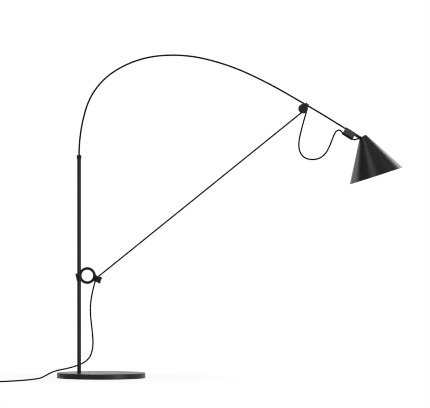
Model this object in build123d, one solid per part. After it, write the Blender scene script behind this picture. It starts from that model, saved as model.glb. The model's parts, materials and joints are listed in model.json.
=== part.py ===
from build123d import *
import math
import os

# Adjustable arm floor lamp, in millimetres. A slim tube stands near the edge of a heavy round
# base. A springy glass-fibre rod swivels in the tube's top and is bent like a bow by the mains
# cord, which is pulled tight between a ring that slides on the tube and a round slider on the
# rod. A cone shade hangs on a tilt hinge at the rod's end.
# Origin: centre of the base on the floor. +X points along the arm, +Z is up.

# Base
BASE_R = 165.0
BASE_H = 20.0
COVER_WALL = 2.0
COVER_TOP = 2.5
COVER_LIFT = 0.5
COVER_EDGE_R = 2.0
PAD_R = 158.0
PAD_H = 4.0
WEIGHT_R = 161.0
BOLT_R = 4.0
BOLT_HOLE_R = 4.2
BOLT_FLATS = 13.0
BOLT_HEAD_H = 5.3
BOLT_TOP = 47.5
WASHER_R = 8.0
WASHER_H = 1.6
COUNTERBORE_R = 9.0
COUNTERBORE_TOP = 12.0

# Tube and its swivel bearing
TUBE_X = -82.3
TUBE_R = 7.0
TUBE_BORE = 5.5
TUBE_TOP = 823.5
PLUG_LENGTH = 40.0
COLLAR_R = 8.75
COLLAR_BOTTOM = 815.5
COLLAR_TOP = 831.8
COLLAR_MOUTH = 4.7
BUSH_BORE = 4.35
UPPER_BUSH = (799.5, 823.5)
LOWER_BUSH = (707.5, 727.5)
THRUST_PLUG = (691.5, 707.5)
FERRULE_R = 4.3
FERRULE_ENDS = (707.8, 831.3)

# Rod, as lengths and the degrees they turn: the bow, a straight stretch for the round slider and
# a slight bend past it; the rest is straight
ROD_R = 3.15
ROD_RUNS = (
    (175.0, 17.0),
    (175.0, 39.5),
    (175.0, 27.0),
    (175.0, 19.3),
    (175.0, 11.8),
    (160.0, 5.49),
    (112.0, 0.0),
    (70.0, 1.7),
)
ROD_FOOT = 711.5
FLEX_AT = 160.7
FLEX_GAP = 0.9
SLIDER_AT = 1118.1
HEAD_AT = 1291.5

# Ring slider on the tube
RING_X = -51.6
RING_Z = 382.5
RING_OUTER = 31.5
RING_INNER = 21.3
RING_DEPTH = 14.0
RING_EDGE_R = 3.5
BOSS_R = 11.6
BOSS_H = 29.0
BOSS_Z = 377.5
BOSS_TILT = 12.5
LINER_R = 7.8
LINER_BORE = 7.05
LINER_ENDS = (364.5, 390.5)
TAB_DROP = 20.0
TAB_H = 22.5
TAB_DEPTH = 16.0
TAB_ENDS = (24.0, 47.0)
TAB_CAP_END = 54.0
TAB_CAP_H = 24.5
WEB_R = 14.0
WEB_DEPTH = 9.0
TAB_SCREW_RISE = 7.8
EYE_AT = 33.7
EYE_R = 6.0
EYE_WIDTH = 12.0
PAD_ENDS = (40.2, 46.8)
CORD_HOLE_R = 3.7

# Round slider on the rod
DISC_R = 17.9
DISC_BELOW = 17.9
CHEEK_H = 3.0
CHEEK_GAP = 8.0
CORE_R = 16.4
SLEEVE_ENDS = (-2.5, 12.0)
SLEEVE_R = 6.4
SLEEVE_COLLAR_END = 4.0
SLEEVE_COLLAR_R = 7.8
POST_ALONG = 11.3
POST_BELOW = 27.6
POST_R = 3.75
TENON_R = 1.3
TENON_DEPTH = 2.2
WRAP_LEAD = 5.0
SLIDER_SCREW_ALONG = 8.5
SLIDER_SCREW_BELOW = 12.0

# Head at the rod's end
HEAD_SLEEVE_R = 5.7
HEAD_SLEEVE_END = 48.0
HEAD_BORE_END = 44.6
ROD_IN_HEAD = 44.0
TONGUE_H = 4.9
TILT_AT = 55.0
HOUSING_LENGTH = 43.5
HOUSING_RISE = 6.3
HOUSING_DROP = 17.0
HOUSING_HALF = 8.0
HOUSING_EDGE_R = 2.0
GLAND_R = 4.6
GLAND_BELOW = 20.3
GLAND_ENDS = (-2.0, 44.0)
GLAND_EDGE_R = 4.0
GLAND_RIB_ENDS = (3.0, 36.0)
GLAND_RIB_TOP = 13.4
GLAND_RIB_HALF = 1.5
SWITCH_ENDS = (14.0, 33.0)
SWITCH_BELOW = 9.6
SWITCH_H = 5.4
SWITCH_DEPTH = 9.0
BUTTON_R = 4.0
BUTTON_AT = 24.0
BUTTON_ENDS = (6.2, 9.8)
CLAMP_SCREW_AT = 11.0
HOUSING_SCREWS_AT = (6.0, 39.0)

# Tilt hinge
PIN_R = 2.0
EAR_INNER = 3.1
EAR_OUTER = 6.9
EAR_R = 5.7
EAR_SLOT_R = 6.6
HINGE_WASHER_R = 5.2

# Shade, measured along its own axis from the rim
RIM_X = 1025.5
RIM_Z = 754.1
SHADE_LEAN = 17.95
RIM_R = 103.2
SHADE_SLOPE = 0.5775
SHADE_WALL = 1.5
SHADE_TOP = 128.0
NOSE_TOP = 157.7
NOSE_EDGE_R = 6.0
NOSE_FACET = ((-18.5, 145.3), (-6.6, 153.4))
EAR_ROOT = (-3.0, 142.2)
SPIGOT_R = 17.0
SPIGOT_BOTTOM = 114.0
LOCK_RING = (117.5, 122.5)
LOCK_RING_R = 29.2
HOLDER_R = 15.0
HOLDER_BOTTOM = 90.0
BULB_CAP_R = 6.9
BULB_CAP_TOP = 109.0
BULB_NECK = 80.0
BULB_R = 20.0
BULB_CENTRE = 62.0

# Cord
CORD_R = 2.8
CORD_GAP = 0.3
COIL_CENTRE = (-412.0, -455.0)
COIL_R = 38.1
COIL_PITCH = 7.0
COIL_TURNS = 1.875
COIL_Z = 4.0
TIE_WIDTH = 5.0
TIE_WALL = 0.9
BOOT_LENGTH = 26.0
PLUG_BODY = (26.0, 36.0, 21.0)
PLUG_PIN_R = 2.0
PLUG_PIN_LENGTH = 19.0
PLUG_PIN_SPACING = 18.6

# Screws
SCREW_R = 1.25
SCREW_HOLE_R = 1.3
SCREW_HEAD_R = 2.3
SCREW_HEAD_H = 1.4

LOWER = (Align.CENTER, Align.CENTER, Align.MIN)


# Helpers


def disc(radius, bottom, top, x=0.0):
    """An upright cylinder between two heights."""
    return Pos(x, 0, bottom) * Cylinder(radius, top - bottom, align=LOWER)


def pipe(outer, inner, bottom, top, x=0.0):
    """An upright tube between two heights."""
    return disc(outer, bottom, top, x) - disc(inner, bottom, top, x)


def facing(point, drop=0.0):
    """A frame in the arm's plane: x runs along the arm and down by drop, z faces the viewer."""
    angle = math.radians(drop)
    return Plane(
        origin=(point.X, 0, point.Z),
        x_dir=(math.cos(angle), 0, -math.sin(angle)),
        z_dir=(0, -1, 0),
    )


def along(frame, start, end, radius, y=0.0):
    """A cylinder along a frame's x axis."""
    bar = Cylinder(radius, end - start, align=LOWER)
    return frame * (Pos(start, y, 0) * Rot(0, 90, 0) * bar)


def across(frame, x, y, near, far, radius):
    """A cylinder along a frame's z axis, from z = near to z = far."""
    return frame * (Pos(x, y, near) * Cylinder(radius, far - near, align=LOWER))


def block(frame, low, high):
    """A box between two corners of a frame."""
    size = [b - a for a, b in zip(low, high)]
    centre = [(a + b) / 2 for a, b in zip(low, high)]
    return frame * (Pos(*centre) * Box(*size))


def lathe(frame, *outline):
    """A solid turned about a frame's z axis from (radius, height) points."""
    edges = Polyline(*[(r, 0, h) for r, h in outline], close=True)
    return frame * revolve(make_face(edges), axis=Axis.Z)


def round_bar(path, radius):
    """A round bar swept along a path."""
    start = Plane(origin=path @ 0, z_dir=path % 0)
    return sweep(start * Circle(radius), path=path)


def screw(frame, x, y, head, tip):
    """A screw along a frame's z axis, with its head standing out past z = head."""
    out = math.copysign(SCREW_HEAD_H, head - tip)
    shank = across(frame, x, y, min(head, tip), max(head, tip), SCREW_R)
    return shank + across(frame, x, y, min(head, head + out), max(head, head + out), SCREW_HEAD_R)


# Rod line


def rod_at(distance):
    """Point and direction on the rod's centre line, measured from the collar's top."""
    point = Vector(TUBE_X, 0, COLLAR_TOP)
    heading = math.radians(90)
    for length, turn_degrees in ROD_RUNS:
        step = min(distance, length)
        turn = math.radians(turn_degrees) * step / length
        chord = step if turn == 0 else step * math.sin(turn / 2) / (turn / 2)
        middle = heading - turn / 2
        point += Vector(math.cos(middle), 0, math.sin(middle)) * chord
        heading -= turn
        distance -= step
    ahead = Vector(math.cos(heading), 0, math.sin(heading))
    return point + ahead * distance, ahead


def rod_frame(distance):
    """A frame on the rod's centre line, with x along the rod."""
    point, ahead = rod_at(distance)
    return facing(point, -math.degrees(math.atan2(ahead.Z, ahead.X)))


SLIDER_FRAME = rod_frame(SLIDER_AT)
HEAD_FRAME = rod_frame(HEAD_AT)
RING_FRAME = facing(Vector(RING_X, 0, RING_Z))
TAB_FRAME = facing(Vector(RING_X, 0, RING_Z), TAB_DROP)
LEAN = math.radians(SHADE_LEAN)
SHADE_FRAME = Plane(
    origin=(RIM_X, 0, RIM_Z),
    x_dir=(math.cos(LEAN), 0, math.sin(LEAN)),
    z_dir=(-math.sin(LEAN), 0, math.cos(LEAN)),
)
EYE = TAB_FRAME.from_local_coords(Vector(EYE_AT, 0, 0))
POST = SLIDER_FRAME.from_local_coords(Vector(POST_ALONG, -POST_BELOW, 0))
HINGE = HEAD_FRAME.from_local_coords(Vector(TILT_AT, 0, 0))


def taut_line():
    """Direction of the tight cord and the point where it meets the post's wrap."""
    wrap = POST_R + CORD_R
    gap = POST - EYE
    lift = math.asin(wrap / gap.length)
    angle = math.atan2(gap.Z, gap.X) + lift
    ahead = Vector(math.cos(angle), 0, math.sin(angle))
    return ahead, EYE + ahead * math.sqrt(gap.length ** 2 - wrap ** 2)


TAUT_AHEAD, WRAP_START = taut_line()


# Stand


def stand():
    """Base, tube and the swivel bearing inside the tube."""
    top = BASE_H - COVER_TOP
    cover = disc(BASE_R, COVER_LIFT, BASE_H) - disc(BASE_R - COVER_WALL, COVER_LIFT, top)
    rim = cover.edges().filter_by(GeomType.CIRCLE).sort_by(Axis.Z)[-1]
    cover = fillet(rim, COVER_EDGE_R) - disc(BOLT_HOLE_R, top, BASE_H, TUBE_X)

    weight = disc(WEIGHT_R, PAD_H, top)
    weight -= disc(COUNTERBORE_R, PAD_H, COUNTERBORE_TOP, TUBE_X)
    weight -= disc(BOLT_HOLE_R, COUNTERBORE_TOP, top, TUBE_X)

    head_top = COUNTERBORE_TOP - WASHER_H
    hexagon = RegularPolygon(BOLT_FLATS / 2, 6, major_radius=False)
    head = extrude(Pos(TUBE_X, 0, head_top - BOLT_HEAD_H) * hexagon, amount=BOLT_HEAD_H)
    plug_top = BASE_H + PLUG_LENGTH
    plug = disc(TUBE_BORE - 0.01, BASE_H, plug_top, TUBE_X)
    collar = disc(COLLAR_R, COLLAR_BOTTOM, COLLAR_TOP, TUBE_X)
    collar = chamfer(collar.edges().filter_by(GeomType.CIRCLE), 0.8)
    collar -= disc(TUBE_R + 0.01, COLLAR_BOTTOM, TUBE_TOP, TUBE_X)
    return {
        "base_pad": disc(PAD_R, 0, PAD_H),
        "base_weight": weight,
        "base_cover": cover,
        "foot_bolt": head + disc(BOLT_R, head_top, BOLT_TOP, TUBE_X),
        "foot_washer": pipe(WASHER_R, BOLT_HOLE_R, head_top, COUNTERBORE_TOP, TUBE_X),
        "tube_plug": plug - disc(BOLT_R + 0.01, BASE_H, BOLT_TOP + 2, TUBE_X),
        "tube": pipe(TUBE_R, TUBE_BORE, BASE_H, TUBE_TOP, TUBE_X),
        "tube_collar": collar - disc(COLLAR_MOUTH, TUBE_TOP, COLLAR_TOP, TUBE_X),
        "upper_bush": pipe(TUBE_BORE - 0.01, BUSH_BORE, *UPPER_BUSH, TUBE_X),
        "lower_bush": pipe(TUBE_BORE - 0.01, BUSH_BORE, *LOWER_BUSH, TUBE_X),
        "thrust_plug": disc(TUBE_BORE - 0.01, *THRUST_PLUG, TUBE_X),
    }


# Rod


def rod_path(start, end):
    """The rod's centre line between two distances from the collar's top."""
    stops = [sum(length for length, _ in ROD_RUNS[:i + 1]) for i in range(len(ROD_RUNS))]
    marks = [start, *[stop for stop in stops if start < stop < end], end]
    runs = []
    for near, far in zip(marks, marks[1:]):
        point, ahead = rod_at(near)
        target, turned = rod_at(far)
        if (turned - ahead).length > 1e-6:
            runs.append(TangentArc(point, target, tangent=ahead))
        else:
            runs.append(Line(point, target))
    return runs


def rod():
    """The rod in two lengths, which meet where its bend is hinged, and its brass ferrule."""
    half = FLEX_GAP / 2
    foot = Line((TUBE_X, 0, ROD_FOOT), (TUBE_X, 0, COLLAR_TOP))
    root = Wire([foot, *rod_path(0, FLEX_AT - half)])
    bow = Wire(rod_path(FLEX_AT + half, HEAD_AT + ROD_IN_HEAD))
    return {
        "rod_ferrule": pipe(FERRULE_R, ROD_R + 0.03, *FERRULE_ENDS, TUBE_X),
        "rod_root": round_bar(root, ROD_R),
        "rod_bow": round_bar(bow, ROD_R),
    }


# Ring slider


def ring_slider():
    """Finger ring with its boss round the tube and its cord tab, and what the tab holds."""
    hoop = Cylinder(RING_OUTER, RING_DEPTH) - Cylinder(RING_INNER, RING_DEPTH)
    hoop = RING_FRAME * fillet(hoop.edges().filter_by(GeomType.CIRCLE), RING_EDGE_R)
    boss = Cylinder(BOSS_R, BOSS_H)
    boss = fillet(boss.edges().filter_by(GeomType.CIRCLE), 1.5)
    boss = Pos(TUBE_X, 0, BOSS_Z) * Rot(0, -BOSS_TILT, 0) * boss
    half_h, half_d = TAB_H / 2, TAB_DEPTH / 2
    tab = block(TAB_FRAME, (TAB_ENDS[0], -half_h, -half_d), (TAB_ENDS[1], half_h, half_d))
    tab = fillet(tab.edges(), 1.5)
    rise = half_h + WEB_R
    reach = math.sqrt((RING_OUTER + WEB_R) ** 2 - rise ** 2)
    share = RING_OUTER / (RING_OUTER + WEB_R)
    web_d = WEB_DEPTH / 2
    web = block(TAB_FRAME, (reach * share, 0, -web_d), (reach, rise * share, web_d))
    web -= across(TAB_FRAME, reach, rise, -web_d, web_d, WEB_R)
    body = hoop + boss + tab + web
    body -= RING_FRAME * Cylinder(RING_INNER, 4 * RING_DEPTH)
    body -= pipe(LINER_R + 0.02, TUBE_R, RING_Z - 60, RING_Z + 60, TUBE_X)
    body -= disc(TUBE_R + 0.5, RING_Z - 60, RING_Z + 60, TUBE_X)
    body -= across(TAB_FRAME, EYE_AT, 0, -TAB_DEPTH, TAB_DEPTH, EYE_R + 0.05)
    up = Plane(origin=EYE, z_dir=TAUT_AHEAD)
    down = Plane(origin=EYE, z_dir=Vector(*LOWER_ROUTE[0]) - EYE)
    for way in (up, down):
        body -= way * Cylinder(CORD_HOLE_R, TAB_H, align=LOWER)
    pocket = (PAD_ENDS[0] - 0.2, -5.0, -4.0), (TAB_ENDS[1] + 1, 5.0, 4.0)
    body -= block(TAB_FRAME, *pocket)
    cap_h = TAB_CAP_H / 2
    cap = block(TAB_FRAME, (TAB_ENDS[1], -cap_h, -half_d), (TAB_CAP_END, cap_h, half_d))
    cap = fillet(cap.faces().sort_by(Axis.X)[-1].edges(), 0.7)
    turned = Plane(
        origin=TAB_FRAME.from_local_coords(Vector(TAB_CAP_END, 0, 0)),
        x_dir=(0, -1, 0),
        z_dir=TAB_FRAME.x_dir,
    )
    screws = []
    for rise in (-TAB_SCREW_RISE, TAB_SCREW_RISE):
        screws.append(screw(turned, 0, rise, 0, -10))
        hole = across(turned, 0, rise, -10.4, 0, SCREW_HOLE_R)
        body -= hole
        cap -= hole
    return {
        "ring_slider": body,
        "slider_liner": pipe(LINER_R, LINER_BORE, *LINER_ENDS, TUBE_X),
        "cord_clamp_cap": cap,
        "cord_clamp_pad": block(TAB_FRAME, (PAD_ENDS[0] + 0.2, -4.8, -3.8), (PAD_ENDS[1], 4.8, 3.8)),
        "cord_clamp_screws": Compound(children=screws),
        "cord_eye": across(TAB_FRAME, EYE_AT, 0, -EYE_WIDTH / 2, EYE_WIDTH / 2, EYE_R),
    }


# Rod slider


def rod_slider():
    """Round slider: two cheeks, a core that grips the rod, and the half-round post under the cord."""
    frame = SLIDER_FRAME
    half = CHEEK_GAP / 2
    collar_room = along(frame, SLEEVE_ENDS[0] - 0.3, SLEEVE_ENDS[1] + 0.3, SLEEVE_COLLAR_R + 0.2)
    cheek = Cylinder(DISC_R, CHEEK_H)
    cheek = fillet(cheek.edges().filter_by(GeomType.CIRCLE), 0.9)
    front = frame * (Pos(0, -DISC_BELOW, half + CHEEK_H / 2) * cheek) - collar_room
    back = frame * (Pos(0, -DISC_BELOW, -half - CHEEK_H / 2) * cheek) - collar_room

    core = across(frame, 0, -DISC_BELOW, -half, half, CORE_R)
    core &= block(frame, (-CORE_R, -DISC_BELOW + 0.6, -half), (CORE_R, DISC_R, half))
    core += along(frame, *SLEEVE_ENDS, SLEEVE_R)
    core += along(frame, SLEEVE_ENDS[0], SLEEVE_COLLAR_END, SLEEVE_COLLAR_R)
    core -= along(frame, -2 * DISC_R, 2 * DISC_R, ROD_R + 0.05)
    tenon = half + TENON_DEPTH
    post = across(frame, POST_ALONG, -POST_BELOW, -half, half, POST_R)
    post += across(frame, POST_ALONG, -POST_BELOW, -tenon, tenon, TENON_R)
    swing_room = Plane(origin=POST, x_dir=TAUT_AHEAD, z_dir=frame.z_dir)
    post -= block(swing_room, (-POST_R, 0, -tenon), (POST_R, POST_R, tenon))
    socket = across(frame, POST_ALONG, -POST_BELOW, -tenon - 0.1, tenon + 0.1, TENON_R + 0.05)
    front -= socket
    back -= socket

    places = [
        (-SLIDER_SCREW_ALONG, -SLIDER_SCREW_BELOW),
        (SLIDER_SCREW_ALONG, -SLIDER_SCREW_BELOW),
    ]
    screws = []
    for x, y in places:
        screws.append(screw(frame, x, y, -half - CHEEK_H, half + 1.6))
        hole = across(frame, x, y, -half - CHEEK_H, half + 1.7, SCREW_HOLE_R)
        front -= hole
        back -= hole
        core -= hole
    return {
        "slider_front_cheek": front,
        "slider_back_cheek": back,
        "slider_core": core,
        "cord_post": post,
        "slider_screws": Compound(children=screws),
    }


# Head


def gland_rib(gap):
    """The gland's rib, which the housing's halves grip, with a gap all round."""
    width = GLAND_RIB_HALF + gap
    return block(
        HEAD_FRAME,
        (GLAND_RIB_ENDS[0] - gap, -GLAND_BELOW, -width),
        (GLAND_RIB_ENDS[1] + gap, -GLAND_RIB_TOP + gap, width),
    )


def housing_half(near, far):
    """One half of the switch housing, between two depths, with its grooves and switch room."""
    low = (0, -HOUSING_DROP, near)
    high = (HOUSING_LENGTH, HOUSING_RISE, far)
    half = block(HEAD_FRAME, low, high)
    outer = far if far > 0 else near
    face = half.faces().sort_by(Axis.Y)[0 if outer > 0 else -1]
    half = fillet(face.edges(), HOUSING_EDGE_R)
    half -= along(HEAD_FRAME, -1, HOUSING_LENGTH + 1, HEAD_SLEEVE_R + 0.02)
    half -= along(HEAD_FRAME, -5, HOUSING_LENGTH + 5, GLAND_R + 0.02, -GLAND_BELOW)
    half -= gland_rib(0.02)
    room = SWITCH_H / 2 + 0.1
    half -= block(
        HEAD_FRAME,
        (SWITCH_ENDS[0] - 0.1, -SWITCH_BELOW - room, -SWITCH_DEPTH / 2 - 0.1),
        (SWITCH_ENDS[1] + 0.1, -SWITCH_BELOW + room, SWITCH_DEPTH / 2 + 0.1),
    )
    return half


def head():
    """Sleeve on the rod's end, the switch housing round it, the cord gland and the button."""
    frame = HEAD_FRAME
    sleeve = along(frame, 0, HEAD_SLEEVE_END, HEAD_SLEEVE_R)
    half = TONGUE_H / 2
    tongue = block(frame, (HEAD_SLEEVE_END - 3, -EAR_R, -half), (TILT_AT, EAR_R, half))
    tongue += across(frame, TILT_AT, 0, -half, half, EAR_R)
    sleeve += tongue
    sleeve -= along(frame, -1, HEAD_BORE_END, ROD_R + 0.05)
    sleeve -= across(frame, TILT_AT, 0, -half, half, PIN_R + 0.05)
    clamp_tip = ROD_R + 0.4
    clamp = across(frame, CLAMP_SCREW_AT, 0, clamp_tip, HOUSING_HALF - 0.4, PIN_R)
    socket = RegularPolygon(1.2, 6, major_radius=False)
    clamp -= frame * extrude(Pos(CLAMP_SCREW_AT, 0, HOUSING_HALF - 2.2) * socket, amount=2)
    clamp_hole = across(frame, CLAMP_SCREW_AT, 0, 0, HOUSING_HALF, PIN_R + 0.02)
    sleeve -= clamp_hole
    front = housing_half(0, HOUSING_HALF) - clamp_hole
    back = housing_half(-HOUSING_HALF, 0)
    button_way = (-HOUSING_HALF, -SWITCH_DEPTH / 2)
    back -= across(frame, BUTTON_AT, -SWITCH_BELOW, *button_way, BUTTON_R + 0.15)
    button = across(frame, BUTTON_AT, -SWITCH_BELOW, -BUTTON_ENDS[1], -BUTTON_ENDS[0], BUTTON_R)
    crown = button.edges().filter_by(GeomType.CIRCLE).sort_by(Axis.Y)[-1]
    screws = []
    for x in HOUSING_SCREWS_AT:
        screws.append(screw(frame, x, -SWITCH_BELOW, -HOUSING_HALF + SCREW_HEAD_H, 5.0))
        shank = across(frame, x, -SWITCH_BELOW, -HOUSING_HALF, 5.2, SCREW_HOLE_R)
        recess_end = -HOUSING_HALF + SCREW_HEAD_H
        recess = across(frame, x, -SWITCH_BELOW, -HOUSING_HALF, recess_end, SCREW_HEAD_R + 0.1)
        front -= shank
        back -= shank + recess
    gland = along(frame, *GLAND_ENDS, GLAND_R, -GLAND_BELOW)
    gland = fillet(gland.edges().filter_by(GeomType.CIRCLE), GLAND_EDGE_R)
    switch_low = (SWITCH_ENDS[0], -SWITCH_BELOW - SWITCH_H / 2, -SWITCH_DEPTH / 2)
    switch_high = (SWITCH_ENDS[1], -SWITCH_BELOW + SWITCH_H / 2, SWITCH_DEPTH / 2)
    return {
        "head_sleeve": sleeve,
        "housing_front": front,
        "housing_back": back,
        "housing_screws": Compound(children=screws),
        "sleeve_clamp_screw": clamp,
        "cord_gland": gland + gland_rib(0),
        "switch_module": block(frame, switch_low, switch_high),
        "switch_button": fillet(crown, 1.0),
    }


# Shade


def cone_radius(height):
    """Outer radius of the shade at a height above its rim."""
    return RIM_R - SHADE_SLOPE * height


def shade():
    """Cone, its nose with the hinge ears, the tilt pin, the lamp holder and the bulb."""
    frame = SHADE_FRAME
    wall = SHADE_WALL * math.hypot(1, SHADE_SLOPE)
    cone = lathe(
        frame,
        (cone_radius(0), 0),
        (cone_radius(SHADE_TOP), SHADE_TOP),
        (cone_radius(SHADE_TOP) - wall, SHADE_TOP),
        (cone_radius(0) - wall, 0),
    )
    nose = lathe(
        Plane.XY,
        (0, SPIGOT_BOTTOM),
        (SPIGOT_R, SPIGOT_BOTTOM),
        (SPIGOT_R, SHADE_TOP),
        (cone_radius(SHADE_TOP), SHADE_TOP),
        (cone_radius(NOSE_TOP), NOSE_TOP),
        (0, NOSE_TOP),
    )
    crown = nose.edges().filter_by(GeomType.CIRCLE).sort_by(Axis.Z)[-1]
    nose = fillet(crown, NOSE_EDGE_R)
    (low_x, low_z), (high_x, high_z) = NOSE_FACET
    run, lift = high_x - low_x, high_z - low_z
    facet = Plane(origin=(low_x, 0, low_z), x_dir=(run, 0, lift), z_dir=(-lift, 0, run))
    nose -= facet * Box(8 * lift, 4 * SPIGOT_R, 2 * SPIGOT_R, align=LOWER)
    nose = frame * nose
    reach = frame.from_local_coords(Vector(EAR_ROOT[0], 0, EAR_ROOT[1])) - HINGE
    ear_frame = facing(HINGE, -math.degrees(math.atan2(reach.Z, reach.X)))
    for near, far in ((-EAR_OUTER, -EAR_INNER), (EAR_INNER, EAR_OUTER)):
        nose += block(ear_frame, (0, -EAR_R, near), (reach.length, EAR_R, far))
        nose += across(ear_frame, 0, 0, near, far, EAR_R)
    nose -= across(ear_frame, 0, 0, -EAR_INNER, EAR_INNER, EAR_SLOT_R)
    nose -= across(ear_frame, 0, 0, -EAR_OUTER, EAR_OUTER, PIN_R + 0.01)
    *_, mouth, tail_end = tail_points()
    depth = (tail_end - mouth).length + 1
    nose -= Plane(origin=mouth, z_dir=tail_end - mouth) * Cylinder(CORD_R + 0.05, depth, align=LOWER)

    pin = across(ear_frame, 0, 0, -EAR_OUTER - 4.0, EAR_OUTER, PIN_R)
    pin += across(ear_frame, 0, 0, EAR_OUTER, EAR_OUTER + 2.0, 3.6)
    nut = extrude(Pos(0, 0, -EAR_OUTER - 3.2) * RegularPolygon(3.5, 6, major_radius=False), amount=3.2)
    nut = ear_frame * nut - across(ear_frame, 0, 0, -20, 0, PIN_R + 0.01)
    face = TONGUE_H / 2 + 0.05
    washers = []
    for near, far in ((-EAR_INNER, -face), (face, EAR_INNER)):
        washer = across(ear_frame, 0, 0, near, far, HINGE_WASHER_R)
        washers.append(washer - across(ear_frame, 0, 0, near, far, PIN_R + 0.02))

    lock_ring = lathe(
        frame,
        (SPIGOT_R + 0.02, LOCK_RING[0]),
        (LOCK_RING_R, LOCK_RING[0]),
        (LOCK_RING_R, LOCK_RING[1]),
        (SPIGOT_R + 0.02, LOCK_RING[1]),
    )
    holder = lathe(
        frame,
        (0, SPIGOT_BOTTOM),
        (HOLDER_R, SPIGOT_BOTTOM),
        (HOLDER_R, HOLDER_BOTTOM),
        (BULB_CAP_R + 0.02, HOLDER_BOTTOM),
        (BULB_CAP_R + 0.02, BULB_CAP_TOP + 1),
        (0, BULB_CAP_TOP + 1),
    )
    bulb_cap = lathe(
        frame,
        (0, BULB_CAP_TOP),
        (3.0, BULB_CAP_TOP),
        (BULB_CAP_R, BULB_CAP_TOP - 4),
        (BULB_CAP_R, HOLDER_BOTTOM - 4),
        (0, HOLDER_BOTTOM - 4),
    )
    neck = lathe(
        frame,
        (0, HOLDER_BOTTOM - 4),
        (9.0, HOLDER_BOTTOM - 4),
        (14.0, BULB_NECK - 5),
        (0, BULB_NECK - 5),
    )
    globe = frame * (Pos(0, 0, BULB_CENTRE) * Sphere(BULB_R))
    globe -= frame * (Pos(0, 0, BULB_NECK - 5) * Cylinder(BULB_R, BULB_R, align=LOWER))
    return {
        "shade_cone": cone,
        "shade_nose": nose,
        "tilt_pin": pin,
        "tilt_nut": nut,
        "tilt_washers": Compound(children=washers),
        "shade_lock_ring": lock_ring,
        "lamp_holder": holder,
        "bulb_cap": bulb_cap,
        "bulb_neck": neck,
        "bulb_globe": globe,
    }


# Cord routes

# From under the ring's eye, down beside the tube, behind it and over the base's rim
LOWER_ROUTE = [
    (-21.4, 0, 364.4),
    (-27.0, 0, 343.5),
    (-34.8, 0, 311.5),
    (-40.1, 0, 274.5),
    (-40.1, 0, 236.5),
    (-36.0, 0, 198.5),
    (-31.9, 1, 161.5),
    (-30.0, 4, 128.5),
    (-34.3, 9, 99.5),
    (-45.3, 16, 76.5),
    (-63.5, 23, 59),
    (-86.0, 28, 49.5),
    (-110.0, 28, 42),
    (-123.0, 26.0, 38.4),
]
# Over the rim to the floor, then forward and away to the left
FLOOR_ROUTE = [
    (-123.0, 26.0, 38.4),
    (-136.0, 24, 34.8),
    (-160.0, 16, 29.6),
    (-181.0, 4, 23),
    (-199.0, -14, 14),
    (-213.0, -38, 7),
    (-222.0, -70, 3.6),
    (-229.0, -110, 3.0),
    (-240.0, -161, 3.0),
    (-258.0, -222, 3.0),
    (-285.0, -284, 3.0),
    (-319.0, -342, 3.0),
    (-350.0, -383, 3.2),
    (-377.0, -407, 3.6),
    (-395.0, -416.3, 4.0),
    (-406.3, -416.9, 4.0),
]
# From the post's far side, down in a hanging loop and up into the head's gland
LOOP_ROUTE = [
    (756.3, 0, 962),
    (747.7, 0, 929),
    (739.3, 0, 894.5),
    (736.5, 0, 866.5),
    (741.9, 0, 839.5),
    (759.5, 0, 819.8),
    (787.0, 0, 814),
    (815.0, 0, 818.7),
    (837.5, 0, 836.8),
    (851.7, 0, 863.5),
    (861.5, 0, 889),
    (866.9, 0, 904.3),
    (875.1, 0, 922.4),
    (884.0, 0, 926.6),
    (892.8, 0, 924.2),
]
# From the gland's end into the shade's nose, along the head and below its axis
TAIL_ROUTE = [
    (48.5, 18.2),
    (52.3, 16.1),
    (55.3, 12.9),
    (57.6, 9.6),
    (60.6, 6.9),
    (64.5, 5.2),
    (70.5, 3.8),
]


def gland_mouth(x, toward):
    """Where a cord on its way from a point stops short of the gland's rounded end."""
    centre = HEAD_FRAME.from_local_coords(Vector(x, -GLAND_BELOW, 0))
    return centre + (toward - centre).normalized() * (GLAND_EDGE_R + 2 * CORD_GAP)


def tail_points():
    """The tail's route in the arm's plane, from the gland's end into the nose."""
    route = [HEAD_FRAME.from_local_coords(Vector(x, -below, 0)) for x, below in TAIL_ROUTE]
    return [gland_mouth(GLAND_ENDS[1] - GLAND_EDGE_R, route[0]), *route]


def bend_radii(points):
    """Largest tangent arcs at a route's corners, from the shorter run beside each corner."""
    radii = []
    for before, corner, after in zip(points, points[1:], points[2:]):
        into = corner - before
        out = after - corner
        half_turn = math.radians(into.get_angle(out)) / 2
        radii.append(0.45 * min(into.length, out.length) / math.tan(half_turn))
    return radii


def cord_path(name, route):
    """A route as straight runs joined by tangent arcs; prints the bend radii."""
    points = [Vector(*point) for point in route]
    radii = bend_radii(points)
    print(name, "bend radii", [round(r, 1) for r in radii])
    return FilletPolyline(*points, radius=radii)


def cord_tube(name, path):
    """A length of cord along a path; prints its length and checks its volume."""
    tube = round_bar(path, CORD_R)
    ideal = math.pi * CORD_R ** 2 * path.length
    print(name, "length", round(path.length, 1), "volume ratio", round(tube.volume / ideal, 4))
    return tube


def loop_wrap():
    """The cord's turn over the slider's post, ending where the loop's first run leaves it."""
    wrap = POST_R + CORD_R
    first = Vector(*LOOP_ROUTE[0])
    gap = POST - first
    angle = math.atan2(gap.Z, gap.X) - math.asin(wrap / gap.length)
    ahead = Vector(math.cos(angle), 0, math.sin(angle))
    end = first + ahead * math.sqrt(gap.length ** 2 - wrap ** 2)
    return TangentArc(WRAP_START, end, tangent=TAUT_AHEAD), end


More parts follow.
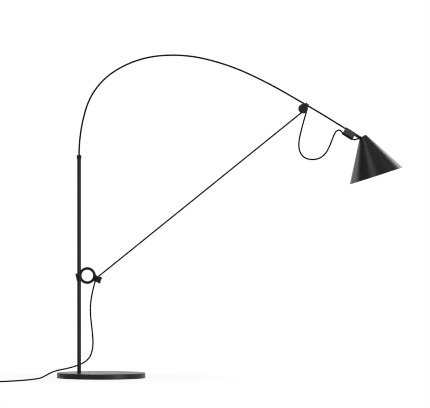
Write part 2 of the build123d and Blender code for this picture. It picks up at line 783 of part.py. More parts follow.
def head_cords():
    """The tight cord, the hanging loop and the short tail from the gland into the shade's nose."""
    start = EYE + TAUT_AHEAD * (EYE_R + CORD_GAP)
    lead = WRAP_START - TAUT_AHEAD * WRAP_LEAD
    taut = Wire([Line(start, lead - TAUT_AHEAD * CORD_GAP)])
    wrap, wrap_end = loop_wrap()
    gland = gland_mouth(GLAND_ENDS[0] + GLAND_EDGE_R, Vector(*LOOP_ROUTE[-1]))
    loop = cord_path("loop_cord", [tuple(wrap_end), *LOOP_ROUTE, tuple(gland)])
    tail = cord_path("shade_tail", tail_points())
    return {
        "taut_cord": cord_tube("taut_cord", taut),
        "loop_cord": cord_tube("loop_cord", Wire([Line(lead, WRAP_START), wrap, *loop.edges()])),
        "shade_tail": cord_tube("shade_tail", tail),
    }


def coil_point(turns):
    """Centre of the coiled cord after some turns: in, up one layer in half a turn, and out."""
    inner = COIL_R - COIL_PITCH * COIL_TURNS
    climb_end = COIL_TURNS + 0.5
    if turns <= COIL_TURNS:
        radius, rise = COIL_R - COIL_PITCH * turns, 0.0
    elif turns <= climb_end:
        share = (turns - COIL_TURNS) / 0.5
        radius, rise = inner, COIL_PITCH * share * share * (3 - 2 * share)
    else:
        radius, rise = inner + COIL_PITCH * (turns - climb_end), COIL_PITCH
    angle = math.radians(90) + 2 * math.pi * turns
    x = COIL_CENTRE[0] + radius * math.cos(angle)
    y = COIL_CENTRE[1] + radius * math.sin(angle)
    return Vector(x, y, COIL_Z + rise)


def coil_stations():
    """Points and directions a quarter turn apart, with the ends turned square."""
    total = 2 * COIL_TURNS + 0.5
    count = round(total * 4)
    stations = []
    for step in range(count + 1):
        turns = total * step / count
        ahead = coil_point(min(turns + 0.001, total)) - coil_point(max(turns - 0.001, 0))
        stations.append((coil_point(turns), ahead.normalized()))
    stations[0] = (stations[0][0], Vector(-1, 0, 0))
    stations[-1] = (stations[-1][0], Vector(0, -1, 0))
    return stations


def biarc(start, start_ahead, end, end_ahead):
    """Two tangent arcs from one point and direction to another."""
    span = end - start
    both = start_ahead + end_ahead
    bend = 2 * (1 - start_ahead.dot(end_ahead))
    dot = span.dot(both)
    reach = (math.sqrt(dot * dot + bend * span.dot(span)) - dot) / bend
    near = start + start_ahead * reach
    far = end - end_ahead * reach
    middle = (near + far) * 0.5
    return [
        TangentArc(start, middle, tangent=start_ahead),
        TangentArc(middle, end, tangent=far - near),
    ]


def coil():
    """The coiled length as one unbroken tube; prints its least gap to itself."""
    stations = coil_stations()
    lead = 2 * CORD_R
    first, first_ahead = stations[0]
    last, last_ahead = stations[-1]
    edges = [Line(first - first_ahead * lead, first)]
    for (start, ahead), (end, end_ahead) in zip(stations, stations[1:]):
        edges += biarc(start, ahead, end, end_ahead)
    edges.append(Line(last, last + last_ahead * lead))
    path = Wire(edges)
    steps = 360
    points = [path.position_at(i / steps) for i in range(steps + 1)]
    spacing = path.length / steps
    apart = math.ceil(6 * CORD_R / spacing)
    pairs = [(a, b) for a in range(steps + 1) for b in range(a + apart, steps + 1)]
    least = min((points[a] - points[b]).length for a, b in pairs) - 2 * CORD_R
    print("cord_coil least gap to itself", round(least, 2))
    return path, points


def tie(points):
    """A band round the coil's bundle on the side away from its ends."""
    x0, y0 = COIL_CENTRE
    near = [p for p in points if p.X > x0 and abs(p.Y - y0) < TIE_WIDTH]
    pad = CORD_R + 0.25
    low_x = min(p.X for p in near) - pad
    high_x = max(p.X for p in near) + pad
    low_z = min(p.Z for p in near) - pad
    high_z = max(p.Z for p in near) + pad
    centre = Pos((low_x + high_x) / 2, y0, (low_z + high_z) / 2)
    inner = Box(high_x - low_x, TIE_WIDTH, high_z - low_z)
    outer = Box(high_x - low_x + 2 * TIE_WALL, TIE_WIDTH, high_z - low_z + 2 * TIE_WALL)
    outer = fillet(outer.edges().filter_by(Axis.Y), 1.5)
    return centre * (outer - inner)


def plug(end):
    """Boot, moulded body and two pins, lying on the floor at the cord's end."""
    boot_end = end.Y - BOOT_LENGTH
    boot = Solid.make_cone(CORD_R + 0.6, CORD_R + 3.2, BOOT_LENGTH, Plane(end, z_dir=(0, -1, 0)))
    width, length, height = PLUG_BODY
    body = Pos(end.X, boot_end - length / 2, end.Z) * Box(width, length, height)
    body = fillet(body.edges().filter_by(Axis.Y), 6.0)
    body = fillet(body.faces().sort_by(Axis.Y)[-1].edges(), 4.0)
    pins = []
    for side in (-0.5, 0.5):
        foot = Vector(end.X + side * PLUG_PIN_SPACING, boot_end - length, end.Z)
        pin = Cylinder(PLUG_PIN_R, PLUG_PIN_LENGTH, align=LOWER)
        pin = fillet(pin.edges().sort_by(Axis.Z)[-1], 1.2)
        pins.append(Plane(foot, z_dir=(0, -1, 0)) * pin)
    return {"plug_boot": boot, "plug_body": body, "plug_pins": Compound(children=pins)}


def mains_cord():
    """The cord from the ring to its plug: lower stretch, floor stretch, coil and plug."""
    path, points = coil()
    nodes = {
        "lower_cord": cord_tube("lower_cord", cord_path("lower_cord", LOWER_ROUTE)),
        "floor_cord": cord_tube("floor_cord", cord_path("floor_cord", FLOOR_ROUTE)),
        "cord_coil": cord_tube("cord_coil", path),
        "cord_tie": tie(points),
    }
    nodes.update(plug(path @ 1))
    return nodes


def main():
    """Builds every node and writes it to its own file."""
    os.makedirs("parts", exist_ok=True)
    nodes = {}
    for group in (stand, rod, ring_slider, rod_slider, head, shade, head_cords, mains_cord):
        nodes.update(group())
    for name, solid in nodes.items():
        export_step(solid, f"parts/{name}.step")
    print(len(nodes), "nodes")


if __name__ == "__main__":
    main()
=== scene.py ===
import json
import math

import bmesh
import bpy
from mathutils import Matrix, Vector


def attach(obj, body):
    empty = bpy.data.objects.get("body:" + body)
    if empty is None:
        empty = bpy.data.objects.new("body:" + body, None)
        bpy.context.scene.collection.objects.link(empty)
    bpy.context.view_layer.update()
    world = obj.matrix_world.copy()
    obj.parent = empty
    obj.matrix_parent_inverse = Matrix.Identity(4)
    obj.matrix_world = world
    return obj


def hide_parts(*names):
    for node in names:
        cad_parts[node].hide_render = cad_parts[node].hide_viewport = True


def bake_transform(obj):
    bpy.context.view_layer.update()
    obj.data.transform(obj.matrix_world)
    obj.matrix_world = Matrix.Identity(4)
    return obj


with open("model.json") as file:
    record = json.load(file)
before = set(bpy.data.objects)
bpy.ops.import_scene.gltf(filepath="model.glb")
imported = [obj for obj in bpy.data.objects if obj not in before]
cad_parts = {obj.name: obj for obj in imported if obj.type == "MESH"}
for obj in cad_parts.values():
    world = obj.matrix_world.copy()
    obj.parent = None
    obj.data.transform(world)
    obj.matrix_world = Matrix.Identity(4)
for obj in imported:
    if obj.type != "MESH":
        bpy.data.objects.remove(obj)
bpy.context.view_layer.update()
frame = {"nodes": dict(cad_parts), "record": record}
scene = bpy.context.scene
scene.view_settings.view_transform = "Standard"

# Camera: almost level, far away, so that the picture is nearly flat
CAMERA_AT = (0.4247, -18.4, 0.76)
CAMERA_AIM = (0.4247, 0.0, 0.6493)
CAMERA_LENS = 413.0
CAMERA_SENSOR = 36.0
CAMERA_REACH = 200.0
PIXEL_FILTER = 1.0

# Rod line, as the solids have it: runs of (length, degrees of turn) from the collar's top
TUBE_X = -0.0823
COLLAR_TOP = 0.8318
ROD_R = 0.00315
ROD_SIDES = 24
ROD_STEP = 0.004
ROD_RUNS = (
    (0.175, 17.0),
    (0.175, 39.5),
    (0.175, 27.0),
    (0.175, 19.3),
    (0.175, 11.8),
    (0.160, 5.49),
    (0.112, 0.0),
    (0.070, 1.7),
)
ROD_FOOT = 0.72
ROD_LENGTH = 1.3355
FLEX_AT = 0.1607

# Cord
CORD_R = 0.0028
CORD_SIDES = 20
SPLINE_STEPS = 12
TAUT_STEPS = 240
TAUT_START = (-0.015030, 0.0, 0.374931)
TAUT_END = (0.751885, 0.0, 0.993961)
COIL_CENTRE = (-0.412, -0.455)
COIL_R = 0.0381
COIL_PITCH = 0.007
COIL_TURNS = 1.875
COIL_Z = 0.004
COIL_STEPS = 16
COIL_CLIMB = 0.5
COIL_EXIT = 0.0055

# From under the ring's eye, down beside the tube, behind it and over the base's rim to the floor
FREE_ROUTE = [
    (-0.0214, 0, 0.3644), (-0.0270, 0, 0.3435), (-0.0348, 0, 0.3115), (-0.0401, 0, 0.2745),
    (-0.0401, 0, 0.2365), (-0.0360, 0, 0.1985), (-0.0319, 0.001, 0.1615), (-0.0300, 0.004, 0.1285),
    (-0.0338, 0.009, 0.0993), (-0.0435, 0.016, 0.0751), (-0.0628, 0.023, 0.0576),
    (-0.0860, 0.028, 0.0470), (-0.1100, 0.028, 0.0391), (-0.1360, 0.024, 0.0331),
    (-0.1600, 0.016, 0.0287), (-0.1810, 0.004, 0.023), (-0.1990, -0.014, 0.014),
    (-0.2130, -0.038, 0.007), (-0.2220, -0.070, 0.0036), (-0.2290, -0.110, 0.003),
    (-0.2400, -0.161, 0.003), (-0.2580, -0.222, 0.003), (-0.2850, -0.284, 0.003),
    (-0.3190, -0.342, 0.003), (-0.3500, -0.383, 0.0032), (-0.3770, -0.407, 0.0036),
    (-0.3950, -0.4163, 0.004),
]
# Over the slider's post, down in a hanging loop and up into the head's gland
LOOP_ROUTE = [
    (0.751963, 0, 0.994024), (0.75590, 0, 0.99720), (0.76022, 0, 0.99738), (0.76380, 0, 0.99496),
    (0.76523, 0, 0.99088), (0.7622, 0, 0.981), (0.7563, 0, 0.962), (0.7477, 0, 0.929),
    (0.7393, 0, 0.8945), (0.7365, 0, 0.8665),
    (0.7419, 0, 0.8395), (0.7595, 0, 0.8198), (0.7870, 0, 0.814), (0.8150, 0, 0.8187),
    (0.8375, 0, 0.8368), (0.8517, 0, 0.8635), (0.8615, 0, 0.889), (0.8666, 0, 0.9022),
    (0.8745, 0, 0.9192), (0.8838, 0, 0.9248), (0.8906, 0, 0.9249), (0.8961, 0, 0.9204),
    (0.90040, 0, 0.91388),
]
# Where the cord is split between two pieces: beside the tube, over the base, and under the loop
SPLIT_Z = 0.1615
RIM_SPLIT_X = -0.123
LOOP_SPLIT_X = 0.785
LOOP_SPLIT_Z = 0.83
# From the gland into the shade's nose
TAIL_ROUTE = [
    (0.93721, 0, 0.89124), (0.94240, 0, 0.88955), (0.94673, 0, 0.88933), (0.95097, 0, 0.89047),
    (0.95466, 0, 0.89207), (0.95863, 0, 0.89278), (0.96285, 0, 0.89217), (0.96868, 0, 0.89020),
]


def ramp(nodes, points):
    """A colour ramp node with (position, grey) stops."""
    node = nodes.new("ShaderNodeValToRGB")
    stops = node.color_ramp.elements
    for place, (position, grey) in enumerate(points):
        stop = stops[place] if place < 2 else stops.new(position)
        stop.position = position
        stop.color = (*grey, 1) if isinstance(grey, tuple) else (grey, grey, grey, 1)
    return node


class Paint:
    """A procedural material: a principled shader with helpers for its node inputs."""

    def __init__(self, name, roughness=0.5, metallic=0.0, specular=0.5, coat=0.0):
        self.material = bpy.data.materials.new(name)
        self.material.use_nodes = True
        self.nodes = self.material.node_tree.nodes
        self.links = self.material.node_tree.links
        self.shader = self.nodes["Principled BSDF"]
        self.set("Roughness", roughness)
        self.set("Metallic", metallic)
        self.set("Specular IOR Level", specular)
        self.set("Coat Weight", coat)
        self.coordinates = self.nodes.new("ShaderNodeTexCoord")

    def set(self, socket, value):
        self.shader.inputs[socket].default_value = value

    def noise(self, scale, detail=3.0, stretch=None, source="Object"):
        """A noise pattern in the object's own metres, or in UV."""
        node = self.nodes.new("ShaderNodeTexNoise")
        node.inputs["Scale"].default_value = scale
        node.inputs["Detail"].default_value = detail
        place = self.coordinates.outputs[source]
        if stretch:
            mapping = self.nodes.new("ShaderNodeMapping")
            mapping.inputs["Scale"].default_value = stretch
            self.links.new(place, mapping.inputs["Vector"])
            place = mapping.outputs["Vector"]
        self.links.new(place, node.inputs["Vector"])
        return node.outputs["Fac"]

    def spread(self, value, low, high, low_at=0.3, high_at=0.7):
        """A value between 0 and 1 mapped to a range."""
        node = self.nodes.new("ShaderNodeMapRange")
        node.inputs["From Min"].default_value = low_at
        node.inputs["From Max"].default_value = high_at
        node.inputs["To Min"].default_value = low
        node.inputs["To Max"].default_value = high
        self.links.new(value, node.inputs["Value"])
        return node.outputs["Result"]

    def colour(self, value, dark, light, low_at=0.3, high_at=0.7):
        """Base colour between two colours, driven by a pattern."""
        node = ramp(self.nodes, [(low_at, dark), (high_at, light)])
        self.links.new(value, node.inputs["Fac"])
        self.links.new(node.outputs["Color"], self.shader.inputs["Base Color"])

    def rough(self, value, low, high):
        self.links.new(self.spread(value, low, high), self.shader.inputs["Roughness"])

    def bump(self, value, strength, depth):
        node = self.nodes.new("ShaderNodeBump")
        node.inputs["Strength"].default_value = strength
        node.inputs["Distance"].default_value = depth
        self.links.new(value, node.inputs["Height"])
        self.links.new(node.outputs["Normal"], self.shader.inputs["Normal"])

    def math(self, operation, first, second=None):
        node = self.nodes.new("ShaderNodeMath")
        node.operation = operation
        for place, value in enumerate((first, second)):
            if value is None:
                continue
            if isinstance(value, (int, float)):
                node.inputs[place].default_value = value
            else:
                self.links.new(value, node.inputs[place])
        return node.outputs["Value"]


def coated_metal(name, dark, light, roughness, specular=0.5, grain=900.0, peel=0.2):
    """Powder-coated or lacquered metal: a fine orange-peel skin and faint handling marks."""
    paint = Paint(name, roughness=roughness, specular=specular)
    fine = paint.noise(grain, 2.0)
    broad = paint.noise(14.0, 4.0)
    paint.colour(broad, dark, light)
    paint.rough(broad, roughness - 0.03, roughness + 0.04)
    paint.bump(fine, peel, 0.0001)
    return paint.material


def moulded(name, dark, light, roughness, specular=0.2, grain=1600.0):
    """Moulded plastic with a spark-eroded grain."""
    paint = Paint(name, roughness=roughness, specular=specular)
    fine = paint.noise(grain, 3.0)
    broad = paint.noise(35.0, 3.0)
    paint.colour(broad, dark, light)
    paint.rough(fine, roughness - 0.06, roughness + 0.08)
    paint.bump(fine, 0.2, 0.0001)
    return paint.material


def brushed(name, dark, light, roughness, stretch):
    """Drawn or turned metal with fine lines along one direction."""
    paint = Paint(name, roughness=roughness, metallic=1.0)
    lines = paint.noise(260.0, 4.0, stretch)
    paint.colour(lines, dark, light)
    paint.rough(lines, roughness - 0.08, roughness + 0.1)
    paint.bump(lines, 0.15, 0.00005)
    return paint.material


def rubber(name, dark, light):
    """Matt rubber with a fine, uneven skin."""
    paint = Paint(name, roughness=0.75, specular=0.20)
    fine = paint.noise(700.0, 4.0)
    paint.colour(fine, dark, light)
    paint.rough(fine, 0.66, 0.84)
    paint.bump(fine, 0.3, 0.0001)
    return paint.material


def fibre_rod():
    """Drawn glass fibre: smooth black skin with faint lengthwise lines."""
    paint = Paint("fibre_rod", roughness=0.6, specular=0.12)
    lines = paint.noise(1.0, 3.0, (4.0, 90.0, 1.0), "UV")
    paint.colour(lines, (0.003, 0.003, 0.0032), (0.005, 0.005, 0.0053))
    paint.rough(lines, 0.55, 0.66)
    paint.bump(lines, 0.15, 0.00006)
    return paint.material


BRAID_PITCH = 0.0064
BRAID_STRANDS = 8


def braided():
    """Braided textile sleeve: two sets of strands crossing at an angle, from the tube's UV."""
    paint = Paint("braided_sleeve", roughness=0.85, specular=0.1)
    split = paint.nodes.new("ShaderNodeSeparateXYZ")
    paint.links.new(paint.coordinates.outputs["UV"], split.inputs["Vector"])
    length, turn = split.outputs["X"], split.outputs["Y"]
    # U runs in metres along the cord, V once round it
    along = paint.math("MULTIPLY", length, 2 * math.pi / BRAID_PITCH)
    around = paint.math("MULTIPLY", turn, 2 * math.pi * BRAID_STRANDS)
    left = paint.math("SINE", paint.math("ADD", along, around))
    right = paint.math("SINE", paint.math("SUBTRACT", along, around))
    weave = paint.math("MAXIMUM", left, right)
    weave = paint.spread(weave, 0.0, 1.0, -0.4, 1.0)
    fuzz = paint.noise(3000.0, 2.0)
    paint.colour(weave, (0.0024, 0.0024, 0.0027), (0.0072, 0.0072, 0.0078), 0.1, 0.9)
    paint.rough(fuzz, 0.78, 0.92)
    paint.bump(weave, 0.6, 0.00025)
    return paint.material


def opal():
    """Opal bulb: milky, glossy and slightly uneven."""
    paint = Paint("opal_bulb", roughness=0.22, coat=0.2)
    broad = paint.noise(40.0, 2.0)
    paint.colour(broad, (0.80, 0.80, 0.77), (0.86, 0.86, 0.84))
    paint.rough(broad, 0.18, 0.28)
    return paint.material


BLACK_STEEL = coated_metal(
    "black_steel", (0.0108, 0.0108, 0.0114), (0.0144, 0.0144, 0.015),
    roughness=0.45, specular=0.45,
)
BASE_PAINT = coated_metal(
    "base_paint", (0.0042, 0.0042, 0.0045), (0.006, 0.006, 0.0063),
    roughness=0.32, specular=0.6, grain=700.0, peel=0.1,
)
SHADE_BLACK = coated_metal(
    "shade_black", (0.0116, 0.0116, 0.0122), (0.015, 0.015, 0.0156),
    roughness=0.26, grain=1200.0, peel=0.03,
)
SHADE_WHITE = coated_metal(
    "shade_white", (0.74, 0.74, 0.72), (0.80, 0.80, 0.78),
    roughness=0.5, specular=0.4, grain=1200.0,
)
BLACK_PLASTIC = moulded("black_plastic", (0.013, 0.013, 0.0135), (0.0175, 0.0175, 0.018), 0.52)
GREY_PLASTIC = moulded("grey_plastic", (0.05, 0.05, 0.0505), (0.06, 0.06, 0.0605), 0.5)
PALE_PLASTIC = moulded("pale_plastic", (0.60, 0.60, 0.57), (0.68, 0.68, 0.65), 0.45)
PLAIN_STEEL = brushed(
    "plain_steel", (0.48, 0.48, 0.49), (0.62, 0.62, 0.63), 0.32, stretch=(1.0, 1.0, 0.1)
)
BLACK_SCREW = brushed(
    "black_screw", (0.03, 0.03, 0.03), (0.06, 0.06, 0.06), 0.38, stretch=(1.0, 0.2, 1.0)
)
BRASS = brushed(
    "turned_brass", (0.55, 0.40, 0.16), (0.66, 0.50, 0.23), 0.28, stretch=(1.0, 1.0, 0.1)
)
RUBBER = rubber("black_rubber", (0.004, 0.004, 0.004), (0.008, 0.008, 0.008))
PAD = rubber("pad_rubber", (0.012, 0.012, 0.012), (0.024, 0.024, 0.024))
IRON = moulded(
    "cast_iron", (0.06, 0.06, 0.06), (0.11, 0.105, 0.10),
    roughness=0.7, specular=0.3, grain=500.0,
)
FIBRE = fibre_rod()
BRAID = braided()
OPAL = opal()

FINISHES = {
    "pad_rubber": PAD,
    "weight_iron": IRON,
    "black_steel": BLACK_STEEL,
    "plain_steel": PLAIN_STEEL,
    "black_plastic": BLACK_PLASTIC,
    "grey_plastic": GREY_PLASTIC,
    "bush_plastic": PALE_PLASTIC,
    "ferrule_brass": BRASS,
    "rod_fibre": FIBRE,
    "black_rubber": RUBBER,
    "black_screw": BLACK_SCREW,
    "shade_lacquer": SHADE_BLACK,
    "bulb_brass": BRASS,
    "bulb_white": OPAL,
    "cord_fabric": BRAID,
}


def dress_nodes():
    """Gives every CAD node the procedural finish of its slot."""
    for entry in frame["record"]["subparts"]:
        node = frame["nodes"][entry["node"]]
        node.data.materials.clear()
        node.data.materials.append(FINISHES[entry["material_slot"]])
    frame["nodes"]["base_cover"].data.materials[0] = BASE_PAINT
    frame["nodes"]["shade_nose"].data.materials[0] = SHADE_BLACK


def new_object(name, mesh, material):
    piece = bpy.data.objects.new(name, mesh)
    scene.collection.objects.link(piece)
    mesh.materials.append(material)
    return piece


def tube_mesh(name, points, radius, sides):
    """A round tube along points, with U in metres along it and V once round it."""
    points = [Vector(p) for p in points]
    mesh = bpy.data.meshes.new(name)
    work = bmesh.new()
    uv = work.loops.layers.uv.new("UVMap")
    side = Vector((0, 1, 0))
    rings = []
    lengths = []
    run = 0.0
    for place, point in enumerate(points):
        before = points[max(place - 1, 0)]
        after = points[min(place + 1, len(points) - 1)]
        ahead = (after - before).normalized()
        side = (side - ahead * side.dot(ahead)).normalized()
        up = ahead.cross(side)
        if place:
            run += (point - points[place - 1]).length
        lengths.append(run)
        ring = []
        for step in range(sides):
            angle = 2 * math.pi * step / sides
            outward = side * math.cos(angle) + up * math.sin(angle)
            ring.append(work.verts.new(point + outward * radius))
        rings.append(ring)
    for place in range(len(rings) - 1):
        near, far = rings[place], rings[place + 1]
        for step in range(sides):
            after = (step + 1) % sides
            face = work.faces.new((near[step], near[after], far[after], far[step]))
            face.smooth = True
            marks = (
                (lengths[place], step / sides),
                (lengths[place], (step + 1) / sides),
                (lengths[place + 1], (step + 1) / sides),
                (lengths[place + 1], step / sides),
            )
            for loop, mark in zip(face.loops, marks):
                loop[uv].uv = mark
    work.faces.new(list(reversed(rings[0])))
    work.faces.new(rings[-1])
    bmesh.ops.recalc_face_normals(work, faces=work.faces)
    work.to_mesh(mesh)
    work.free()
    return mesh


def spline_points(name, route):
    """Points read from the smooth spline that has the route as its control points."""
    curve = bpy.data.curves.new(name, "CURVE")
    curve.dimensions = "3D"
    spline = curve.splines.new("NURBS")
    spline.points.add(len(route) - 1)
    for point, place in zip(spline.points, route):
        point.co = (*place, 1.0)
    spline.order_u = 3
    spline.use_endpoint_u = True
    spline.resolution_u = SPLINE_STEPS
    holder = bpy.data.objects.new(name, curve)
    mesh = bpy.data.meshes.new_from_object(holder)
    points = [v.co.copy() for v in mesh.vertices]
    bpy.data.objects.remove(holder)
    bpy.data.curves.remove(curve)
    bpy.data.meshes.remove(mesh)
    return points


def cut_at(points, test):
    """Splits a line of points at the first point that passes a test; both halves share it."""
    place = next(i for i, p in enumerate(points) if test(p))
    return points[: place + 1], points[place:]


# Cords


def cord_piece(name, points, nodes):
    """One length of cord that stands for the given CAD nodes."""
    mesh = tube_mesh(name, points, CORD_R, CORD_SIDES)
    piece = new_object(name, mesh, BRAID)
    if nodes:
        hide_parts(*nodes)
    return piece


def coil_route():
    """The coil's turns: in, up a layer in half a turn, and out."""
    inner = COIL_R - COIL_PITCH * COIL_TURNS
    climb_end = COIL_TURNS + COIL_CLIMB
    total = 2 * COIL_TURNS + COIL_CLIMB
    route = []
    for step in range(round(total * COIL_STEPS) + 1):
        turns = step / COIL_STEPS
        if turns <= COIL_TURNS:
            radius, rise = COIL_R - COIL_PITCH * turns, 0.0
        elif turns <= climb_end:
            share = (turns - COIL_TURNS) / COIL_CLIMB
            radius, rise = inner, COIL_PITCH * share * share * (3 - 2 * share)
        else:
            radius, rise = inner + COIL_PITCH * (turns - climb_end), COIL_PITCH
        angle = math.pi / 2 + 2 * math.pi * turns
        x = COIL_CENTRE[0] + radius * math.cos(angle)
        y = COIL_CENTRE[1] + radius * math.sin(angle)
        route.append((x, y, COIL_Z + rise))
    return route


def make_cords():
    """The whole cord, in lengths; the floor length and the tight length ride on their bodies."""
    coil = coil_route()
    end = (coil[-1][0], coil[-1][1] - COIL_EXIT, coil[-1][2])
    line = spline_points("free_line", FREE_ROUTE + coil + [end])
    upper, rest = cut_at(line, lambda p: p.z < SPLIT_Z)
    lower, floor = cut_at(rest, lambda p: p.x < RIM_SPLIT_X)

    piece = cord_piece("cord_below_ring", upper, [])
    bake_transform(piece)
    piece = cord_piece("cord_beside_tube", lower, ["lower_cord"])
    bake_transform(piece)
    piece = cord_piece("cord_on_floor", floor, ["floor_cord", "cord_coil"])
    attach(piece, "stand")

    loop = spline_points("loop_line", LOOP_ROUTE)
    falling, rising = cut_at(loop, lambda p: p.x > LOOP_SPLIT_X and p.z < LOOP_SPLIT_Z)
    piece = cord_piece("cord_loop_fall", falling, ["loop_cord"])
    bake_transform(piece)
    piece = cord_piece("cord_loop_rise", rising, [])
    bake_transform(piece)

    start, finish = Vector(TAUT_START), Vector(TAUT_END)
    taut = [start.lerp(finish, i / TAUT_STEPS) for i in range(TAUT_STEPS + 1)]
    piece = cord_piece("cord_tight", taut, ["taut_cord"])
    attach(piece, "tight_cord")

    tail = spline_points("tail_line", TAIL_ROUTE)
    piece = cord_piece("cord_into_shade", tail, ["shade_tail"])
    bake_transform(piece)


# Rod


def rod_at(distance):
    """Point on the rod's centre line, measured from the collar's top."""
    x, z = TUBE_X, COLLAR_TOP
    heading = math.pi / 2
    for length, degrees in ROD_RUNS:
        step = min(distance, length)
        turn = math.radians(degrees) * step / length
        chord = step if turn == 0 else step * math.sin(turn / 2) / (turn / 2)
        x += math.cos(heading - turn / 2) * chord
        z += math.sin(heading - turn / 2) * chord
        heading -= turn
        distance -= step
    return Vector((x + math.cos(heading) * distance, 0, z + math.sin(heading) * distance))


def make_rod():
    """The rod as one smooth bar along its centre line, in place of its two CAD nodes."""
    steps = round(ROD_LENGTH / ROD_STEP)
    points = [Vector((TUBE_X, 0, ROD_FOOT))]
    points += [rod_at(ROD_LENGTH * i / steps) for i in range(steps + 1)]
    mesh = tube_mesh("rod", points, ROD_R, ROD_SIDES)
    piece = new_object("rod", mesh, FIBRE)
    tuple(rod_at(0))
    tuple(rod_at(2 * FLEX_AT))
    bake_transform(piece)
    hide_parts("rod_root", "rod_bow")


# Shade

RIM = Vector((1.0255, 0, 0.7541))
SHADE_LEAN = math.radians(17.95)
SHADE_X = Vector((math.cos(SHADE_LEAN), 0, math.sin(SHADE_LEAN)))
SHADE_Z = Vector((-math.sin(SHADE_LEAN), 0, math.cos(SHADE_LEAN)))
RIM_R = 0.1032
SHADE_SLOPE = 0.5775
SHADE_WALL = 0.0015
SHADE_TOP = 0.128
SHADE_SIDES = 160
SHADE_SHARES = (0.05, 0.25, 0.5, 0.75, 1.0)
LIP_STEPS = 4
LIP_FLATNESS = 0.6
SHADE_SHARP = math.radians(40)


def make_shade():
    """The cone as a thin spun shell: lacquered outside, white inside, with a rounded rim."""
    wall = SHADE_WALL * math.hypot(1, SHADE_SLOPE)
    lip = wall / 2
    outline = []
    for share in reversed(SHADE_SHARES):
        height = SHADE_TOP * share
        outline.append((RIM_R - SHADE_SLOPE * height, height, 0))
    for step in range(LIP_STEPS + 1):
        angle = math.pi * step / LIP_STEPS
        radius = RIM_R - lip + lip * math.cos(angle)
        outline.append((radius, lip * (1 - math.sin(angle)) * LIP_FLATNESS, 0))
    for share in SHADE_SHARES:
        height = SHADE_TOP * share
        outline.append((RIM_R - SHADE_SLOPE * height - wall, height, 1))
    mesh = bpy.data.meshes.new("shade_shell")
    work = bmesh.new()
    rings = []
    for radius, height, _ in outline:
        ring = []
        for step in range(SHADE_SIDES):
            angle = 2 * math.pi * step / SHADE_SIDES
            across = SHADE_X * math.cos(angle) + Vector((0, 1, 0)) * math.sin(angle)
            ring.append(work.verts.new(RIM + SHADE_Z * height + across * radius))
        rings.append(ring)
    rings.append(rings[0])
    sides = [entry[2] for entry in outline] + [0]
    for place in range(len(rings) - 1):
        near, far = rings[place], rings[place + 1]
        for step in range(SHADE_SIDES):
            after = (step + 1) % SHADE_SIDES
            face = work.faces.new((near[step], near[after], far[after], far[step]))
            face.smooth = True
            face.material_index = 1 if sides[place] and sides[place + 1] else 0
    bmesh.ops.recalc_face_normals(work, faces=work.faces)
    work.to_mesh(mesh)
    work.free()
    piece = new_object("shade_shell", mesh, SHADE_BLACK)
    mesh.materials.append(SHADE_WHITE)
    mesh.set_sharp_from_angle(angle=SHADE_SHARP)
    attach(piece, "shade")
    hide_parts("shade_cone")


# Stage

FLOOR_HALF = 8.0
FLOOR_GREY = (0.85, 0.85, 0.85, 1)
FLOOR_FADE = (0.30, 0.60)
FLOOR_GLOW = 0.88
# Brightness of the surroundings in reflections, from in front of the lamp to behind it
WORLD_STOPS = [(0.0, 0.08), (0.55, 0.08), (0.8, 0.3), (1.0, 1.0)]
# Name, place, aim, size and watts of each lamp
LIGHTS = [
    ("top_box", (-0.2, 0.6, 4.0), (0.3, 0, 0.6), (2.0, 2.0), 45.0),
    ("right_back", (2.95, 3.25, 2.85), (1.0, 0, 0.8), (1.4, 2.2), 18.0),
    ("left_back", (-2.4, 1.72, 1.6), (1.0, 0, 0.8), (2.2, 1.6), 13.5),
    ("upper_strip", (-0.17, -1.5, 3.05), (1.0, 0, 0.8), (1.05, 0.9), 3.75),
    ("faint_strip", (2.06, -0.16, 3.1), (1.0, 0, 0.8), (0.7, 0.9), 0.45),
    ("right_front", (2.4, -2.2, 0.6), (0, 0, 0.4), (1.6, 1.2), 15.0),
    ("front_key", (2.6, -3.2, 3.2), (0.5, 0, 0.6), (2.0, 2.0), 90.0),
]


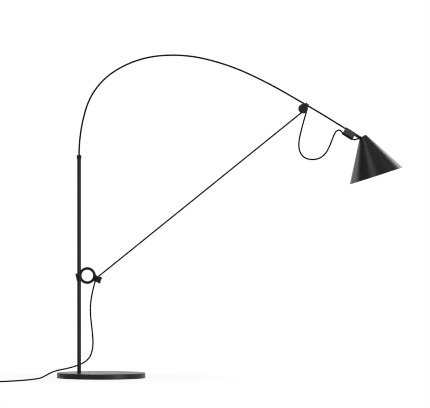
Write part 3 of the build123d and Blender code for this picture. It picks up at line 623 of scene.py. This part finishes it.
def make_stage():
    """Pale floor with a soft shadow by the lamp, which clears to the white behind further out."""
    mesh = bpy.data.meshes.new("floor")
    far = FLOOR_HALF
    corners = [(-far, -far, 0), (far, -far, 0), (far, far, 0), (-far, far, 0)]
    mesh.from_pydata(corners, [], [(0, 1, 2, 3)])
    floor = bpy.data.objects.new("floor", mesh)
    scene.collection.objects.link(floor)
    material = bpy.data.materials.new("floor_white")
    material.use_nodes = True
    nodes = material.node_tree.nodes
    links = material.node_tree.links
    nodes.clear()
    output = nodes.new("ShaderNodeOutputMaterial")
    matt = nodes.new("ShaderNodeBsdfDiffuse")
    matt.inputs["Color"].default_value = FLOOR_GREY
    glow = nodes.new("ShaderNodeEmission")
    glow.inputs["Strength"].default_value = 1.0
    clear = nodes.new("ShaderNodeBsdfTransparent")
    seen = nodes.new("ShaderNodeLightPath")
    place = nodes.new("ShaderNodeTexCoord")
    distance = nodes.new("ShaderNodeVectorMath")
    distance.operation = "LENGTH"
    links.new(place.outputs["Object"], distance.inputs[0])
    fade = nodes.new("ShaderNodeMapRange")
    fade.interpolation_type = "SMOOTHSTEP"
    fade.inputs["From Min"].default_value = FLOOR_FADE[0]
    fade.inputs["From Max"].default_value = FLOOR_FADE[1]
    links.new(distance.outputs["Value"], fade.inputs["Value"])
    lit = nodes.new("ShaderNodeMath")
    lit.operation = "MULTIPLY"
    lit.inputs[1].default_value = FLOOR_GLOW
    links.new(seen.outputs["Is Camera Ray"], lit.inputs[0])
    gone = nodes.new("ShaderNodeMath")
    gone.operation = "MULTIPLY"
    links.new(seen.outputs["Is Camera Ray"], gone.inputs[0])
    links.new(fade.outputs["Result"], gone.inputs[1])
    surface = nodes.new("ShaderNodeMixShader")
    links.new(lit.outputs["Value"], surface.inputs["Fac"])
    links.new(matt.outputs["BSDF"], surface.inputs[1])
    links.new(glow.outputs["Emission"], surface.inputs[2])
    whole = nodes.new("ShaderNodeMixShader")
    links.new(gone.outputs["Value"], whole.inputs["Fac"])
    links.new(surface.outputs["Shader"], whole.inputs[1])
    links.new(clear.outputs["BSDF"], whole.inputs[2])
    links.new(whole.outputs["Shader"], output.inputs["Surface"])
    mesh.materials.append(material)


def make_world():
    """White for the camera; for reflections bright behind the lamp and dim in front of it."""
    world = bpy.data.worlds.new("studio")
    scene.world = world
    world.use_nodes = True
    nodes = world.node_tree.nodes
    links = world.node_tree.links
    nodes.clear()
    output = nodes.new("ShaderNodeOutputWorld")
    soft = nodes.new("ShaderNodeBackground")
    white = nodes.new("ShaderNodeBackground")
    white.inputs["Color"].default_value = (1, 1, 1, 1)
    place = nodes.new("ShaderNodeTexCoord")
    split = nodes.new("ShaderNodeSeparateXYZ")
    links.new(place.outputs["Generated"], split.inputs["Vector"])
    shift = nodes.new("ShaderNodeMapRange")
    shift.inputs["From Min"].default_value = -1.0
    shift.inputs["From Max"].default_value = 1.0
    links.new(split.outputs["Y"], shift.inputs["Value"])
    behind = ramp(nodes, WORLD_STOPS)
    links.new(shift.outputs["Result"], behind.inputs["Fac"])
    links.new(behind.outputs["Color"], soft.inputs["Color"])
    seen = nodes.new("ShaderNodeLightPath")
    mix = nodes.new("ShaderNodeMixShader")
    links.new(seen.outputs["Is Camera Ray"], mix.inputs["Fac"])
    links.new(soft.outputs["Background"], mix.inputs[1])
    links.new(white.outputs["Background"], mix.inputs[2])
    links.new(mix.outputs["Shader"], output.inputs["Surface"])


def facing(place, aim):
    """Rotation that points a lamp or a camera from a place at an aim."""
    return (Vector(aim) - Vector(place)).to_track_quat("-Z", "Y").to_euler()


def area_light(name, place, aim, size, power):
    data = bpy.data.lights.new(name, "AREA")
    data.shape = "RECTANGLE"
    data.size, data.size_y = size
    data.energy = power
    light = bpy.data.objects.new(name, data)
    light.location = place
    light.rotation_euler = facing(place, aim)
    scene.collection.objects.link(light)


def make_camera():
    data = bpy.data.cameras.new("camera")
    data.lens = CAMERA_LENS
    data.sensor_width = CAMERA_SENSOR
    data.clip_end = CAMERA_REACH
    camera = bpy.data.objects.new("camera", data)
    camera.location = CAMERA_AT
    camera.rotation_euler = facing(CAMERA_AT, CAMERA_AIM)
    scene.collection.objects.link(camera)
    scene.camera = camera
    scene.cycles.filter_width = PIXEL_FILTER


make_camera()
dress_nodes()
make_cords()
make_rod()
make_shade()
make_stage()
make_world()
for light in LIGHTS:
    area_light(*light)
